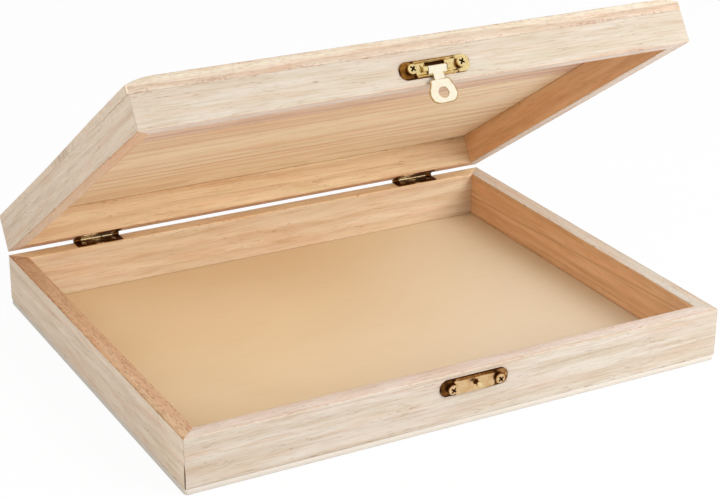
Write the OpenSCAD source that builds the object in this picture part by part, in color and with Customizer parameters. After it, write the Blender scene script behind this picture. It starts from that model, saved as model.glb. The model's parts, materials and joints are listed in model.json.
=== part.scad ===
// Hinged flat wooden box for art supplies: a mitred tray and a mitred lid,
// two brass butt hinges at the back and a brass hasp and catch at the front.
// Millimetres. +Z up, -Y is the front. The origin is the middle of the foot.

/* [Box] */
// Width of the box, left to right
box_w = 340; // [240:1:420]
// Depth of the box, front to back
box_d = 266; // [180:1:320]
// How far the lid stands open, from rims parallel
lid_open = 33.8; // [0:0.1:100]

/* [Tray] */
// Thickness of the tray boards
tray_wall_t = 10; // [10:0.5:14]
// Height of the tray boards
tray_wall_h = 29.4; // [24:0.2:60]
// Thickness of the floor panel under the boards
floor_t = 3.6; // [2:0.2:6]

/* [Lid] */
// Thickness of the lid boards
lid_wall_t = 9.6; // [9.4:0.1:13]
// Height of the lid boards
lid_wall_h = 19.4; // [18:0.2:40]
// Thickness of the lid's top
top_t = 8; // [5:0.2:12]
// How much thinner the top is at its two ends
top_end_drop = 2.8; // [1:0.1:4]
// Length over which each end of the top is rounded down
top_end_run = 16; // [8:1:40]
// Width of the front strip of the top
front_strip_w = 32; // [20:1:60]

/* [Hinges] */
// Length of a hinge
hinge_len = 30; // [26:1:40]
// Length of each knuckle at the two ends of a hinge
end_knuckle_len = 4.5; // [3:0.5:6]
// Depth of a leaf from the pin to its free edge
leaf_depth = 8.6; // [7.5:0.1:9]
// Thickness of a leaf
leaf_t = 0.55; // [0.4:0.05:0.8]
// Diameter of a hinge pin
hinge_pin_d = 1; // [0.8:0.1:1.6]
// Distance of each hinge's middle from the middle of the box
hinge_offset = 115; // [60:1:125]
// How far the pin lies inside the back face
pin_inset = 0.3; // [0:0.1:0.6]
// Distance between the two screws of a leaf
leaf_screw_gap = 20; // [16:1:24]

/* [Latch and catch] */
// How far the fittings sit to the right of the middle
fittings_shift = 2.4; // [-10:0.1:10]
// Length of the latch plate and of the catch plate
plate_len = 43.5; // [40:0.5:50]
// Height of both plates
plate_h = 10.2; // [9:0.1:11]
// Thickness of the brass sheet
plate_t = 0.7; // [0.5:0.1:0.8]
// How far the raised middle of a plate stands out
plate_raise = 1.5; // [1.4:0.1:1.7]
// Length of the raised middle
raise_len = 24; // [20:0.5:24]
// Distance between the two screws of a plate
plate_screw_gap = 30.2; // [30:0.1:34]
// Height of the latch plate's middle above the lid's rim
latch_rise = 8.7; // [7:0.1:12]
// Distance of the catch plate's middle below the tray's rim
catch_drop = 8; // [6:0.1:12]
// Height of the hasp's pin above the lid's rim
hasp_pin_rise = 7.9; // [6.6:0.1:8.4]
// Length of the hasp's barrel
hasp_barrel_len = 11.2; // [8:0.1:12]
// How far the wide root of the hasp runs down from the pin
hasp_root_drop = 3; // [1.6:0.1:4]
// Height of the open slot above the hasp's barrel
hasp_slot_h = 2.2; // [0.2:0.1:2.4]
// Diameter of the latch pin
latch_pin_d = 1.3; // [1:0.1:1.6]
// Wall of a latch knuckle
latch_knuckle_wall = 0.7; // [0.5:0.05:0.8]
// Length of each of the two latch knuckles
latch_knuckle_len = 3; // [2:0.1:3.5]
// Height of the foot that joins a latch knuckle to its plate
latch_foot_h = 2; // [1.4:0.1:2.6]
// Distance from the latch pin to the hasp's hole
hasp_reach = 14.1; // [12:0.1:16]
// Diameter of the hasp's hole
hasp_hole_d = 6.2; // [5:0.1:7]
// Greatest width of the hasp
hasp_w = 17.2; // [15:0.1:20]
// Width of the hasp's neck
hasp_neck_w = 6.2; // [5:0.1:8]
// Width across the hasp's shoulders
hasp_shoulder_w = 12.4; // [9:0.1:15]
// Distance from the latch pin to the shoulders' middle
hasp_shoulder_drop = 8; // [6:0.1:9]
// Corner radius of the shoulders
hasp_shoulder_r = 1.8; // [0.8:0.1:2.4]
// Corner radius of the wide end
hasp_end_r = 5.2; // [4:0.1:6.5]
// How far below its hole the hasp is widest
hasp_belly_drop = 0.6; // [0:0.1:1.5]
// Thickness of the hasp
hasp_t = 0.8; // [0.6:0.1:1]
// Diameter of the catch stud's head
stud_head_d = 3.4; // [3:0.1:4.2]
// Height of the catch stud's head
stud_head_h = 2.2; // [1:0.1:2.6]
// How far the stud stands out from the tray
stud_reach = 7.3; // [5:0.1:8]
// Diameter of the stud's neck, which passes through the catch plate
stud_neck_d = 2.4; // [1.8:0.1:2.8]
// Diameter of the stud's riveted tail behind the plate
stud_tail_d = 3.8; // [3:0.1:4.4]
// Thickness of the stud's riveted tail
stud_tail_t = 0.5; // [0.3:0.1:0.6]

/* [Screws] */
// Diameter of a domed screw head
dome_head_d = 5.6; // [4.6:0.1:5.8]
// Height of a domed screw head
dome_head_h = 3.6; // [3.2:0.1:4]
// Height of the straight rim under the dome
dome_rim_h = 2.6; // [0.4:0.1:2.8]
// Width across the recess of a domed screw
dome_recess_len = 3.5; // [2.4:0.1:4]
// Depth of the recess of a domed screw
dome_recess_depth = 1.2; // [0.6:0.1:1.3]
// Shank diameter of a domed screw
dome_shank_d = 2.4; // [1.8:0.1:3]
// Length of a domed screw's shank
dome_shank_len = 8; // [5:0.5:8.5]
// Head diameter of a countersunk hinge screw
flat_head_d = 3.6; // [3:0.1:4]
// How far a hinge screw's head stands out from its leaf
flat_head_rise = 0.2; // [0.1:0.05:0.3]
// Width across the recess of a hinge screw
flat_recess_len = 2.2; // [1.4:0.1:2.4]
// Depth of the recess of a hinge screw
flat_recess_depth = 0.45; // [0.2:0.05:0.5]
// Shank diameter of a hinge screw
flat_shank_d = 1.6; // [1.2:0.1:2]
// Length of a hinge screw
flat_screw_len = 8; // [5:0.5:10]
// Width of one arm of a cross recess
recess_w = 0.75; // [0.4:0.05:0.9]

/* [Clearances] */
// Play of a pin in its knuckle, on the radius
pin_play = 0.05; // [0.02:0.01:0.1]
// Gap between two knuckles, and between a leaf and the other leaf's knuckle
knuckle_gap = 0.2; // [0.1:0.05:0.4]
// Room round a screw in its hole, on the radius
screw_play = 0.05; // [0.02:0.01:0.1]
// Room between the hasp and the raised middle of the catch plate
hasp_gap = 0.3; // [0.2:0.05:0.6]
// How far the stud sits below the middle of the hasp's hole
stud_slack = 0.7; // [0:0.1:0.9]

/* [Hidden] */

$fn = 48;

wood = [0.88, 0.78, 0.65];
ply = [0.86, 0.74, 0.55];
brass = [0.80, 0.64, 0.28];
aged_brass = [0.55, 0.40, 0.18];

cut = 1;               // how far a cut runs past the face that it opens
root2 = sqrt(2);

// Heights. With the rims parallel they lie one hinge barrel apart.
barrel_d = hinge_pin_d + 2 * pin_play + 2 * leaf_t;
barrel_r = barrel_d / 2;
tray_h = floor_t + tray_wall_h;
lid_rim_z = tray_h + barrel_d;
lid_panel_z = lid_rim_z + lid_wall_h;

// Hinge axis
pin_y = box_d / 2 - pin_inset;
pin_z = tray_h + barrel_r;
inner_knuckle_len = (hinge_len - 2 * end_knuckle_len) / 3;
tray_knuckles = [0, 2, 4];
lid_knuckles = [1, 3];
leaf_screw_y = -(leaf_depth + barrel_r) / 2;
flat_head_h = leaf_t + flat_head_rise;

// Top strips: a narrow front one and three equal ones behind it. Each end is rounded down on an
// arc that starts level, top_end_run before the end, and is top_end_drop lower at the end.
rest_strip_w = (box_d - front_strip_w) / 3;
top_end_r = (top_end_run ^ 2 + top_end_drop ^ 2) / (2 * top_end_drop);

// Fittings, measured outwards from the wood
latch_knuckle_d = latch_pin_d + 2 * pin_play + 2 * latch_knuckle_wall;
hasp_pin_out = plate_raise + hasp_gap + hasp_t / 2;
hasp_window_len = hasp_barrel_len + 2 * knuckle_gap;
latch_pin_len = hasp_window_len + 2 * latch_knuckle_len;
hasp_hole_drop = hasp_reach - hasp_pin_rise;
stud_drop = hasp_hole_drop + stud_slack;

// Start and length of knuckle k of a hinge, counted from its left end
function knuckle_start(k) = k == 0 ? 0 : end_knuckle_len + (k - 1) * inner_knuckle_len;
function knuckle_len(k) = (k == 0 || k == 4) ? end_knuckle_len : inner_knuckle_len;

// ---- places ----

// Side 0 is the front, then 1 right, 2 back, 3 left
module on_side(side) {
    rotate([0, 0, 90 * side])
        translate([0, -(side % 2 == 0 ? box_d : box_w) / 2, 0])
            children();
}

// The lid is drawn with its rim parallel to the tray's, then swung open
module on_lid() {
    translate([0, pin_y, pin_z])
        rotate([-lid_open, 0, 0])
            translate([0, -pin_y, -pin_z])
                children();
}

// A fitting is drawn flat, +Y up the face and +Z out of it
module on_tray_front(rise) {
    translate([fittings_shift, -box_d / 2, tray_h + rise]) rotate([90, 0, 0]) children();
}

module on_lid_front(rise) {
    on_lid()
        translate([fittings_shift, -box_d / 2, lid_rim_z + rise]) rotate([90, 0, 0]) children();
}

// hand is -1 for the left hinge and 1 for the right one
module at_hinge(hand) {
    translate([fittings_shift + hand * hinge_offset, pin_y, pin_z]) children();
}

module at_plate_screws() {
    for (hand = [-1, 1])
        translate([hand * plate_screw_gap / 2, 0, plate_t]) children();
}

// The screws of a leaf, from the pin's axis; their heads look up
module at_leaf_screws() {
    for (hand = [-1, 1])
        translate([hand * leaf_screw_gap / 2, leaf_screw_y, leaf_t - barrel_r]) children();
}

// ---- wood ----

// Mitred board: its outer face on y = 0, its thickness towards +Y
module mitred_board(length, thickness, height) {
    linear_extrude(height)
        polygon([
            [-length / 2, 0], [length / 2, 0],
            [length / 2 - thickness, thickness], [-length / 2 + thickness, thickness]
        ]);
}

module tray_board(side) {
    translate([0, 0, floor_t])
        on_side(side)
            mitred_board(side % 2 == 0 ? box_w : box_d, tray_wall_t, tray_wall_h);
}

module lid_board(side) {
    translate([0, 0, lid_rim_z])
        on_side(side)
            mitred_board(side % 2 == 0 ? box_w : box_d, lid_wall_t, lid_wall_h);
}

module tray_front_board() {
    color(wood)
        difference() {
            tray_board(0);
            on_tray_front(-catch_drop) at_plate_screws() dome_screw_hole();
        }
}

module tray_back_board() {
    color(wood)
        difference() {
            tray_board(2);
            for (hand = [-1, 1])
                at_hinge(hand) at_leaf_screws() flat_screw_hole();
        }
}

module tray_left_board() {
    color(wood) tray_board(3);
}

module tray_right_board() {
    color(wood) tray_board(1);
}

module tray_floor_panel() {
    color(ply)
        translate([-box_w / 2, -box_d / 2, 0]) cube([box_w, box_d, floor_t]);
}

module lid_front_board() {
    color(wood)
        difference() {
            on_lid() lid_board(0);
            on_lid_front(latch_rise) at_plate_screws() dome_screw_hole();
        }
}

module lid_back_board() {
    color(wood)
        on_lid()
            difference() {
                lid_board(2);
                for (hand = [-1, 1])
                    at_hinge(hand) mirror([0, 0, 1]) at_leaf_screws() flat_screw_hole();
            }
}

module lid_left_board() {
    color(wood) on_lid() lid_board(3);
}

module lid_right_board() {
    color(wood) on_lid() lid_board(1);
}

// Side view of the lid's top: a long rectangle whose two upper corners are rounded down
module top_section() {
    level_w = box_w - 2 * top_end_run;
    intersection() {
        translate([-box_w / 2, 0]) square([box_w, top_t]);
        union() {
            translate([-level_w / 2, 0]) square([level_w, top_t]);
            for (hand = [-1, 1])
                translate([hand * level_w / 2, top_t - top_end_r]) circle(r = top_end_r);
        }
    }
}

// Strip of the lid's top, from start behind the front face
module lid_top_strip(start, width) {
    color(wood)
        on_lid()
            translate([0, -box_d / 2 + start + width, lid_panel_z])
                rotate([90, 0, 0])
                    linear_extrude(height = width) top_section();
}

module lid_top_strip_1() {
    lid_top_strip(0, front_strip_w);
}

module lid_top_strip_2() {
    lid_top_strip(front_strip_w, rest_strip_w);
}

module lid_top_strip_3() {
    lid_top_strip(front_strip_w + rest_strip_w, rest_strip_w);
}

module lid_top_strip_4() {
    lid_top_strip(front_strip_w + 2 * rest_strip_w, rest_strip_w);
}

// ---- screws: the seat of the head is at z = 0, the shank runs down ----

module cross_recess(top, depth, length) {
    for (turn = [0, 90])
        rotate([0, 0, turn])
            translate([-length / 2, -recess_w / 2, top - depth]) cube([length, recess_w, depth + cut]);
}

module screw_shank(diameter, length) {
    tip_h = diameter;
    tip_d = diameter / 4;
    translate([0, 0, -(length - tip_h)]) cylinder(d = diameter, h = length - tip_h);
    translate([0, 0, -length]) cylinder(d1 = tip_d, d2 = diameter, h = tip_h);
}

module dome_screw() {
    dome_h = dome_head_h - dome_rim_h;
    dome_r = (pow(dome_head_d / 2, 2) + dome_h * dome_h) / (2 * dome_h);
    difference() {
        union() {
            cylinder(d = dome_head_d, h = dome_rim_h);
            intersection() {
                translate([0, 0, dome_head_h - dome_r]) sphere(r = dome_r);
                translate([0, 0, dome_rim_h]) cylinder(d = dome_head_d, h = dome_h);
            }
            screw_shank(dome_shank_d, dome_shank_len + plate_t);
        }
        cross_recess(dome_head_h, dome_recess_depth, dome_recess_len);
    }
}

module dome_screw_hole() {
    depth = dome_shank_len + plate_t + screw_play;
    translate([0, 0, -depth]) cylinder(d = dome_shank_d + 2 * screw_play, h = depth + cut);
}

module flat_screw() {
    difference() {
        union() {
            translate([0, 0, -leaf_t]) cylinder(d1 = flat_shank_d, d2 = flat_head_d, h = flat_head_h);
            screw_shank(flat_shank_d, flat_screw_len);
        }
        cross_recess(flat_head_rise, flat_recess_depth, flat_recess_len);
    }
}

module flat_screw_hole() {
    depth = flat_screw_len + screw_play;
    translate([0, 0, -depth]) cylinder(d = flat_shank_d + 2 * screw_play, h = depth + cut);
}

module flat_screw_seat() {
    flat_screw_hole();
    translate([0, 0, -leaf_t])
        cylinder(
            d1 = flat_shank_d + 2 * screw_play,
            d2 = flat_head_d + 2 * screw_play,
            h = flat_head_h
        );
}

// ---- stamped plates: the back lies on z = 0 ----

module plate_outline() {
    end_d = plate_h;
    square([plate_len - end_d, plate_h], center = true);
    for (hand = [-1, 1])
        translate([hand * (plate_len - end_d) / 2, 0]) circle(d = end_d);
}

// Ridge of 45 degree sides along X
module ridge(length, base, height) {
    rotate([90, 0, 90])
        linear_extrude(length, center = true)
            polygon([
                [-base / 2, 0], [base / 2, 0],
                [base / 2 - height, height], [-base / 2 + height, height]
            ]);
}

module stamped_plate() {
    hollow_h = plate_raise - plate_t;
    difference() {
        union() {
            linear_extrude(plate_t) plate_outline();
            ridge(raise_len, plate_h, plate_raise);
        }
        ridge(raise_len - 2 * plate_t, plate_h - 2 * root2 * plate_t, hollow_h);
        at_plate_screws() dome_screw_hole();
    }
}

module catch_plate() {
    color(brass)
        on_tray_front(-catch_drop)
            difference() {
                stamped_plate();
                translate([0, catch_drop - stud_drop, 0])
                    cylinder(d = stud_neck_d + 2 * screw_play, h = plate_raise + cut);
            }
}

module catch_stud() {
    tail_top = plate_raise - plate_t;
    neck_top = stud_reach - stud_head_h / 2;
    color(brass)
        on_tray_front(-stud_drop) {
            translate([0, 0, tail_top - stud_tail_t]) cylinder(d = stud_tail_d, h = stud_tail_t);
            translate([0, 0, tail_top - stud_tail_t])
                cylinder(d = stud_neck_d, h = neck_top - tail_top + stud_tail_t);
            intersection() {
                translate([0, 0, stud_reach - stud_head_d / 2]) sphere(d = stud_head_d);
                translate([0, 0, stud_reach - stud_head_h]) cylinder(d = stud_head_d, h = stud_head_h);
            }
        }
}

module catch_screws() {
    color(brass) on_tray_front(-catch_drop) at_plate_screws() dome_screw();
}

// Things round the latch pin, which lies along X
module at_latch_pin() {
    on_lid_front(hasp_pin_rise) translate([0, 0, hasp_pin_out]) children();
}

module along_x(diameter, length) {
    rotate([0, 90, 0]) cylinder(d = diameter, h = length, center = true);
}

module latch_plate() {
    knuckle_x = (hasp_window_len + latch_knuckle_len) / 2;
    window_drop = latch_knuckle_d / 2 + knuckle_gap;
    window_h = window_drop + latch_knuckle_d / 2 + hasp_slot_h;
    pin_y_on_plate = hasp_pin_rise - latch_rise;
    color(brass)
        on_lid_front(latch_rise)
            difference() {
                union() {
                    stamped_plate();
                    for (hand = [-1, 1])
                        translate([hand * knuckle_x, pin_y_on_plate, 0]) {
                            translate([0, 0, hasp_pin_out]) along_x(latch_knuckle_d, latch_knuckle_len);
                            translate([-latch_knuckle_len / 2, -latch_foot_h / 2, 0])
                                cube([latch_knuckle_len, latch_foot_h, hasp_pin_out]);
                        }
                }
                translate([0, pin_y_on_plate, hasp_pin_out])
                    along_x(latch_pin_d + 2 * pin_play, plate_len);
                translate([-hasp_window_len / 2, pin_y_on_plate - window_drop, -cut])
                    cube([hasp_window_len, window_h, plate_raise + 2 * cut]);
            }
}

module latch_pin() {
    color(brass) at_latch_pin() along_x(latch_pin_d, latch_pin_len);
}

module latch_screws() {
    color(brass) on_lid_front(latch_rise) at_plate_screws() dome_screw();
}

// Outline of the hasp below the pin: a neck, then a pear
module hasp_outline() {
    shoulder_x = hasp_shoulder_w / 2 - hasp_shoulder_r;
    end_x = hasp_w / 2 - hasp_end_r;
    belly_y = -hasp_reach - hasp_belly_drop;
    translate([-hasp_barrel_len / 2, -hasp_root_drop]) square([hasp_barrel_len, hasp_root_drop]);
    translate([-hasp_neck_w / 2, -hasp_shoulder_drop]) square([hasp_neck_w, hasp_shoulder_drop]);
    hull()
        for (hand = [-1, 1]) {
            translate([hand * shoulder_x, -hasp_shoulder_drop]) circle(r = hasp_shoulder_r);
            translate([hand * end_x, belly_y]) circle(r = hasp_end_r);
        }
}

module hasp() {
    color(brass)
        at_latch_pin()
            difference() {
                union() {
                    along_x(latch_knuckle_d, hasp_barrel_len);
                    translate([0, 0, -hasp_t / 2]) linear_extrude(hasp_t) hasp_outline();
                }
                along_x(latch_pin_d + 2 * pin_play, hasp_barrel_len + 2 * cut);
                translate([0, -hasp_reach, -hasp_t])
                    cylinder(d = hasp_hole_d, h = 2 * hasp_t);
            }
}

// ---- butt hinges, drawn from the pin's axis with the leaf on the tray's rim ----

module hinge_leaf(knuckles) {
    notch = barrel_r + knuckle_gap;
    color(aged_brass)
        difference() {
            union() {
                translate([-hinge_len / 2, -leaf_depth, -barrel_r])
                    cube([hinge_len, leaf_depth - notch, leaf_t]);
                for (k = knuckles) {
                    first = k == 0 ? 0 : knuckle_gap / 2;
                    last = k == 4 ? 0 : knuckle_gap / 2;
                    length = knuckle_len(k) - first - last;
                    translate([knuckle_start(k) + first - hinge_len / 2, 0, 0]) {
                        rotate([0, 90, 0]) cylinder(d = barrel_d, h = length);
                        translate([0, -notch, -barrel_r]) cube([length, notch, leaf_t]);
                    }
                }
            }
            along_x(hinge_pin_d + 2 * pin_play, hinge_len + 2 * cut);
            at_leaf_screws() flat_screw_seat();
        }
}

module hinge_tray_leaf(hand) {
    at_hinge(hand) hinge_leaf(tray_knuckles);
}

module hinge_lid_leaf(hand) {
    on_lid() at_hinge(hand) mirror([0, 0, 1]) hinge_leaf(lid_knuckles);
}

module hinge_pin(hand) {
    color(aged_brass) at_hinge(hand) along_x(hinge_pin_d, hinge_len);
}

module hinge_tray_screws(hand) {
    color(aged_brass) at_hinge(hand) at_leaf_screws() flat_screw();
}

module hinge_lid_screws(hand) {
    color(aged_brass)
        on_lid() at_hinge(hand) mirror([0, 0, 1]) at_leaf_screws() flat_screw();
}

// ---- the nodes ----

tray_front_board();
tray_back_board();
tray_left_board();
tray_right_board();
tray_floor_panel();
catch_plate();
catch_stud();
catch_screws();
lid_front_board();
lid_back_board();
lid_left_board();
lid_right_board();
lid_top_strip_1();
lid_top_strip_2();
lid_top_strip_3();
lid_top_strip_4();
latch_plate();
latch_pin();
latch_screws();
hasp();
hinge_tray_leaf(-1);  // left_hinge_tray_leaf
hinge_lid_leaf(-1);  // left_hinge_lid_leaf
hinge_pin(-1);  // left_hinge_pin
hinge_tray_screws(-1);  // left_hinge_tray_screws
hinge_lid_screws(-1);  // left_hinge_lid_screws
hinge_tray_leaf(1);  // right_hinge_tray_leaf
hinge_lid_leaf(1);  // right_hinge_lid_leaf
hinge_pin(1);  // right_hinge_pin
hinge_tray_screws(1);  // right_hinge_tray_screws
hinge_lid_screws(1);  // right_hinge_lid_screws
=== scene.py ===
import json
import math

import bmesh
import bpy
import numpy as np
from mathutils import Matrix, Vector


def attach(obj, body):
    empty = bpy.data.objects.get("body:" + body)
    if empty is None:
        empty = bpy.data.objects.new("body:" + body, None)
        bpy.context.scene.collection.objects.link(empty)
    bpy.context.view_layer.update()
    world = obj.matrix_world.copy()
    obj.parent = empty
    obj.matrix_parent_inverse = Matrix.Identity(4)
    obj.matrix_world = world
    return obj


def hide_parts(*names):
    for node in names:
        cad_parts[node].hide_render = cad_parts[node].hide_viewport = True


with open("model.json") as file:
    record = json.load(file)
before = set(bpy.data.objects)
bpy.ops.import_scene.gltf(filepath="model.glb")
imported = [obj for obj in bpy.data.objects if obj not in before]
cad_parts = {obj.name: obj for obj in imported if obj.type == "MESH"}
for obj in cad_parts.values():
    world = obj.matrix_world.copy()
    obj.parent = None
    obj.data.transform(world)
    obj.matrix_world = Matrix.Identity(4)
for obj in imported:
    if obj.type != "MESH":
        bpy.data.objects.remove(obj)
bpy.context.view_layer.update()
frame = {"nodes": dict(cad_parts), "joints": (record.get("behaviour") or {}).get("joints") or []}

# Lengths inside the makers of pieces are millimetres; a mesh gets them in metres.
MM = 0.001
BOX_WIDTH, BOX_DEPTH = 340, 266
LID_OPEN = math.radians(33.8)       # between the rims of tray and lid, as drawn
QUARTER = math.radians(90)

JOINTS = {joint["name"]: joint for joint in frame["joints"]}
PIN_X, PIN_Y, PIN_Z = (value / MM for value in JOINTS["lid_hinge"]["pos_m"])


# ---- places, read from the frame ----

def swing(points, angle):
    """Points turned about the hinge pin: y and z rotate round it, and x and the fourth number stay as
    they are.
    A positive angle opens the lid."""
    turned = np.array(points, float)
    y, z = turned[..., 1] - PIN_Y, turned[..., 2] - PIN_Z
    turned[..., 1] = PIN_Y + y * math.cos(angle) + z * math.sin(angle)
    turned[..., 2] = PIN_Z - y * math.sin(angle) + z * math.cos(angle)
    return turned


def corners(node, on_lid=False):
    """Lowest and highest corner of a CAD node in mm. A lid node is measured with the rims parallel."""
    mesh = frame["nodes"][node].data
    points = np.empty(len(mesh.vertices) * 3)
    mesh.vertices.foreach_get("co", points)
    points = points.reshape(-1, 3) / MM
    if on_lid:
        points = swing(points, -LID_OPEN)
    return points.min(0), points.max(0)


def middle(node, on_lid=False):
    """Middle between the corners of a CAD node."""
    low, high = corners(node, on_lid)
    return (low + high) / 2


# ---- meshes ----

TOUCHING, NO_LENGTH = 2e-6, 1e-7    # points this close are one, edges this short go, in metres
SHARP_EDGE, BEVEL_EDGE = math.radians(38), math.radians(50)


def make(name, grids, finish, body, node, bevel=0):
    """A closed piece from grids of points (rows, columns, xyz, and a number for worn spots and painted
    shade), joined where they touch.
    Each cell of a grid is one face; rows that shrink to a point or line close the shape."""
    points, faces, start = [], [], 0
    for grid in grids:
        rows, columns = grid.shape[:2]
        number = start + np.arange(rows * columns).reshape(rows, columns)
        cells = np.stack([number[:-1, :-1], number[:-1, 1:], number[1:, 1:], number[1:, :-1]], -1)
        points.append(grid.reshape(-1, 4))
        faces.append(cells.reshape(-1, 4))
        start += rows * columns
    points, faces = np.concatenate(points), np.concatenate(faces)
    mesh = bpy.data.meshes.new(name)
    mesh.from_pydata((points[:, :3] * MM).tolist(), [], faces.tolist())
    wear_and_shade = mesh.attributes.new("wear_and_shade", "FLOAT", "POINT")
    wear_and_shade.data.foreach_set("value", points[:, 3].astype(np.float32))
    shell = bmesh.new()
    shell.from_mesh(mesh)
    bmesh.ops.remove_doubles(shell, verts=shell.verts, dist=TOUCHING)
    bmesh.ops.dissolve_degenerate(shell, edges=shell.edges, dist=NO_LENGTH)
    bmesh.ops.recalc_face_normals(shell, faces=shell.faces)
    shell.to_mesh(mesh)
    shell.free()
    mesh.polygons.foreach_set("use_smooth", np.ones(len(mesh.polygons), bool))
    mesh.set_sharp_from_angle(angle=SHARP_EDGE)
    mesh.materials.append(finish)
    piece = bpy.data.objects.new(name, mesh)
    bpy.context.scene.collection.objects.link(piece)
    if bevel:
        rounding = piece.modifiers.new("soft_edges", "BEVEL")
        rounding.width = bevel * MM
        rounding.segments = 2
        rounding.limit_method = "ANGLE"
        rounding.angle_limit = BEVEL_EDGE
    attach(piece, body)
    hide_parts(node)


def with_wear_and_shade(points, wear_and_shade):
    """A grid of points with a fourth number added, for worn spots and painted shade."""
    column = np.broadcast_to(np.asarray(wear_and_shade, float), points.shape[:-1])
    return np.concatenate([points, column[..., None]], -1)


def ripple(a, b, seed):
    """Smooth waves from -1 to 1: the mean of four products of sines whose lengths never line up."""
    waves = ((0.045, 0.21), (0.13, 0.37), (0.31, 0.83), (0.74, 1.7))
    total = sum(np.sin(a * f + seed * (k + 1.3)) * np.cos(b * g + seed * 1.7 * (k + 1))
                for k, (f, g) in enumerate(waves))
    return total / len(waves)


def smooth(low, high, x):
    """0 below low and 1 above high, with a smooth rise between."""
    t = np.clip((x - low) / (high - low), 0, 1)
    return t * t * (3 - 2 * t)


def rounded_outline(wide, high, radius, pitch):
    """Closed rectangle with arc corners from (0, 0) to (wide, high): points, and outward normals.
    The radius is one for all, or four: lower and upper at wide, then upper and lower at 0."""
    radii = np.broadcast_to(np.asarray(radius, float), 4)
    centres = [(wide - radii[0], radii[0]), (wide - radii[1], high - radii[1]),
               (radii[2], high - radii[2]), (radii[3], radii[3])]
    points, normals = [], []
    for k, centre in enumerate(centres):
        angle = QUARTER * (k - 1) + np.linspace(0, QUARTER, 6)
        normal = np.stack([np.cos(angle), np.sin(angle)], -1)
        arc = np.array(centre) + radii[k] * normal
        after = np.array(centres[(k + 1) % 4]) + radii[(k + 1) % 4] * normal[-1]
        steps = max(2, round(float(np.linalg.norm(after - arc[-1])) / pitch))
        share = np.linspace(0, 1, steps + 1)[1:-1, None]
        points += [arc, arc[-1] * (1 - share) + after * share]
        normals += [normal, np.repeat(normal[-1:], len(share), 0)]
    points, normals = np.concatenate(points), np.concatenate(normals)
    return np.concatenate([points, points[:1]]), np.concatenate([normals, normals[:1]])


def stations(half, first, coarse):
    """Places along a board from -half to half, close together near the ends, coarse in the middle."""
    gap, place, found = first, half, [half]
    while gap < coarse:
        place -= gap
        found.append(place)
        gap *= 1.25
    inner = np.linspace(place, 0, max(2, round(place / coarse)) + 1)[1:]
    positive = np.concatenate([found, inner])
    return np.concatenate([-positive[:-1], positive[::-1]])


# ---- boards ----

CORNER_R = 0.55        # rounding of a box corner, where two mitres meet
MITRE_SHARE = 1 - math.cos(math.radians(45))
JOINT_GAP = 0.03       # between the two boards of a tight mitre
FACE_WAVE, ARRIS_WAVE = 0.03, 0.05


def board(length, deep, tall, seed, radius=0.45, mitred=True, gaps=None):
    """A board in its own frame: x along it, y inwards from its outer face, z up.
    A rectangle with arc corners is carried along x. On a mitred board each point of the outline ends
    as far short of the corner as it lies inside the outer face, and gaps(side, height) takes off more.
    The surface waves a little, and the arrises more."""
    pitch, end_pitch, long_pitch = 1.1, 0.14, 2.2
    outline, normal = rounded_outline(deep, tall, radius, pitch)
    y, z = outline[:, 0], outline[:, 1]
    half = length / 2
    arris = 1 - smooth(0.3, 1.6, np.minimum.reduce([
        np.hypot(y, z), np.hypot(y - deep, z), np.hypot(y, z - tall), np.hypot(y - deep, z - tall)]))
    short = np.maximum(y, CORNER_R * MITRE_SHARE) if mitred else np.zeros_like(y)
    end_gap = gaps or mitre_gap(0, 0)
    along = stations(1.0, end_pitch / half, long_pitch / half)[:, None]
    span = np.where(along < 0, half - short - end_gap(-1, z), half - short - end_gap(1, z))
    x = along * span
    depth, height = np.broadcast_to(y, x.shape), np.broadcast_to(z, x.shape)
    wave = FACE_WAVE * ripple(x, height + depth * 1.7, seed)
    wave = wave + arris * (ARRIS_WAVE * ripple(x * 2.3, depth * 3 + height, seed + 2) - FACE_WAVE)
    depth, height = depth + normal[:, 0] * wave, height + normal[:, 1] * wave
    if mitred:
        from_corner = np.clip(CORNER_R - (half - np.abs(x)), 0, CORNER_R)
        depth = np.maximum(depth, CORNER_R - np.sqrt(CORNER_R ** 2 - from_corner ** 2))
    points = np.stack([x, depth, height], -1)
    caps = []
    for edge in (points[0], points[-1]):
        centre = edge[:-1].mean(0)
        caps.append(np.stack([centre + scale * (edge - centre) for scale in (0.97, 0.8, 0.5, 0)]))
    return with_wear_and_shade(np.concatenate([caps[0][::-1], points, caps[1]]), arris)


def mitre_gap(open_side, width):
    """Gaps of a board whose mitre at one end, -1 or 1, opens by width towards the foot of the box."""
    return lambda side, height: JOINT_GAP + width * smooth(17, 8, height) * (side == open_side)


def quarter_turns(points, side):
    """Points turned about the vertical by side quarter turns, as the box's four sides follow on."""
    angle = QUARTER * side
    turned = points.copy()
    turned[..., 0] = points[..., 0] * math.cos(angle) - points[..., 1] * math.sin(angle)
    turned[..., 1] = points[..., 0] * math.sin(angle) + points[..., 1] * math.cos(angle)
    return turned


def side_board(node, side, on_lid, seed, look, **extras):
    """One mitred board of the tray or lid, with the size and place of its CAD node. Side 0 is the
    front, and the others follow to the right."""
    low, high = corners(node, on_lid)
    size = high - low
    length, deep = (size[0], size[1]) if side % 2 == 0 else (size[1], size[0])
    grid = board(length, deep, size[2], seed, **extras)
    grid[..., 1] -= (BOX_DEPTH if side % 2 == 0 else BOX_WIDTH) / 2
    grid[..., 2] += low[2]
    grid = quarter_turns(grid, side)
    if on_lid:
        grid = swing(grid, LID_OPEN)
    finish = wood_finish(node, side, on_lid, deep, low[2], size[2], seed, **look)
    make(node + ".wood", [grid], finish, "lid" if on_lid else "tray", node)


# How far each end of the lid's top is rounded down, and over what length; then where, from front to
# back, the extra drop at the left end grows.
TOP_END_DROP, TOP_END_RUN = 2.8, 16
SANDED_FROM, SANDED_TO = -90, 30


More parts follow.
